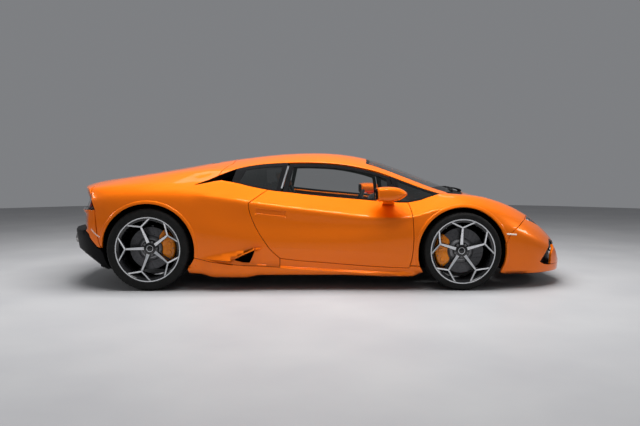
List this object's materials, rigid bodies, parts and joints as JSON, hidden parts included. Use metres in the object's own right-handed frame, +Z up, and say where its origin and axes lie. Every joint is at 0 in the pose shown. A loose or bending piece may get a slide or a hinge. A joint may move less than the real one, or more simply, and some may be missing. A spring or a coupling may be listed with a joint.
{
  "type": "mid-engined two-door sports coupe",
  "caption": "Low mid-engined two-door sports coupe in orange, with turning and steering wheels, opening doors, front lid and rear engine lid.",
  "frame": {"origin": "on the ground under the middle of the length and width", "axes": "+X forward, +Y to the left side, +Z up"},
  "size_m": [4.459, 2.144, 1.1639],
  "materials": {
    "paint": "pearl orange paint under clear lacquer",
    "glass": "dark tinted glazing",
    "lamp_cover": "clear cover over a dark lamp",
    "black_plastic": "fine-grained black moulding",
    "structure": "dark coated alloy",
    "engine_metal": "cast, dull",
    "steel": "heat-toned steel",
    "knuckle_metal": "forged, satin",
    "caliper_paint": "orange enamel",
    "disc_iron": "turned faces, dark",
    "rim_alloy": "gloss black with bright turned faces",
    "tyre_rubber": "matt",
    "cabin_leather": "black hide with orange stitching"
  },
  "bodies": {
    "body": {"arch_liners": "black_plastic", "cowl": "black_plastic", "dashboard": "cabin_leather", "diffuser": "black_plastic", "drive_shafts": "steel", "engine": "engine_metal", "exhaust": "steel", "front_bumper": "paint", "front_fenders": "paint", "front_grilles": "black_plastic", "front_splitter": "black_plastic", "front_suspension": "structure", "gearbox": "engine_metal", "headlights": "lamp_cover", "jacking_pads": "black_plastic", "luggage_bay": "black_plastic", "quarter_glass": "glass", "rear_bumper": "paint", "rear_calipers": "caliper_paint", "rear_grille": "black_plastic", "rear_quarters": "paint", "rear_suspension": "structure", "rear_uprights": "knuckle_metal", "rear_window": "glass", "roof_frame": "paint", "seats": "cabin_leather", "side_skirts": "paint", "steering_column": "structure", "tail_panel": "paint", "taillights": "lamp_cover", "tub": "structure", "undertray": "black_plastic", "windscreen": "glass"},
    "knuckle_left": {"knuckle_left": "knuckle_metal", "caliper_front_left": "caliper_paint"},
    "knuckle_right": {"knuckle_right": "knuckle_metal", "caliper_front_right": "caliper_paint"},
    "wheel_front_left": {"rim_front_left": "rim_alloy", "tyre_front_left": "tyre_rubber", "disc_front_left": "disc_iron"},
    "wheel_front_right": {"rim_front_right": "rim_alloy", "tyre_front_right": "tyre_rubber", "disc_front_right": "disc_iron"},
    "wheel_rear_left": {"rim_rear_left": "rim_alloy", "tyre_rear_left": "tyre_rubber", "disc_rear_left": "disc_iron"},
    "wheel_rear_right": {"rim_rear_right": "rim_alloy", "tyre_rear_right": "tyre_rubber", "disc_rear_right": "disc_iron"},
    "hood": {"hood": "paint"},
    "engine_cover": {"engine_cover": "paint"},
    "door_left": {"door_left": "paint", "door_glass_left": "glass", "mirror_left": "paint"},
    "door_right": {"door_right": "paint", "door_glass_right": "glass", "mirror_right": "paint"},
    "steering_wheel": {"steering_wheel": "cabin_leather"}
  },
  "joints": [
    {"name": "steering_left", "type": "hinge", "parent": "body", "child": "knuckle_left", "pos_m": [1.225, 0.7815, 0.3275], "axis": [0, 0, 1], "range_deg": [-32, 32]},
    {"name": "steering_right", "type": "hinge", "parent": "body", "child": "knuckle_right", "pos_m": [1.225, -0.7815, 0.3275], "axis": [0, 0, 1], "range_deg": [-32, 32]},
    {"name": "steering_wheel_turn", "type": "hinge", "parent": "body", "child": "steering_wheel", "pos_m": [0.418, 0.37, 0.64], "axis": [-0.9135, 0, 0.4067], "range_deg": [-450, 450]},
    {"name": "wheel_spin_front_left", "type": "hinge", "parent": "knuckle_left", "child": "wheel_front_left", "pos_m": [1.225, 0.834, 0.3275], "axis": [0, 1, 0], "continuous": true},
    {"name": "wheel_spin_front_right", "type": "hinge", "parent": "knuckle_right", "child": "wheel_front_right", "pos_m": [1.225, -0.834, 0.3275], "axis": [0, 1, 0], "continuous": true},
    {"name": "wheel_spin_rear_left", "type": "hinge", "parent": "body", "child": "wheel_rear_left", "pos_m": [-1.395, 0.81, 0.3455], "axis": [0, 1, 0], "continuous": true},
    {"name": "wheel_spin_rear_right", "type": "hinge", "parent": "body", "child": "wheel_rear_right", "pos_m": [-1.395, -0.81, 0.3455], "axis": [0, 1, 0], "continuous": true},
    {"name": "door_left_swing", "type": "hinge", "parent": "body", "child": "door_left", "pos_m": [0.806, 0.951, 0.47], "axis": [0, 0, -1], "range_deg": [0, 60]},
    {"name": "door_right_swing", "type": "hinge", "parent": "body", "child": "door_right", "pos_m": [0.806, -0.951, 0.47], "axis": [0, 0, 1], "range_deg": [0, 60]},
    {"name": "hood_lift", "type": "hinge", "parent": "body", "child": "hood", "pos_m": [1.262, 0, 0.812], "axis": [0, -1, 0], "range_deg": [0, 60]},
    {"name": "engine_cover_lift", "type": "hinge", "parent": "body", "child": "engine_cover", "pos_m": [-0.733, 0, 1.112], "axis": [0, 1, 0], "range_deg": [0, 50]}
  ],
  "couplings": [
    {"joint": "steering_right", "follows": "steering_left", "ratio": 1},
    {"joint": "steering_wheel_turn", "follows": "steering_left", "ratio": 14}
  ]
}
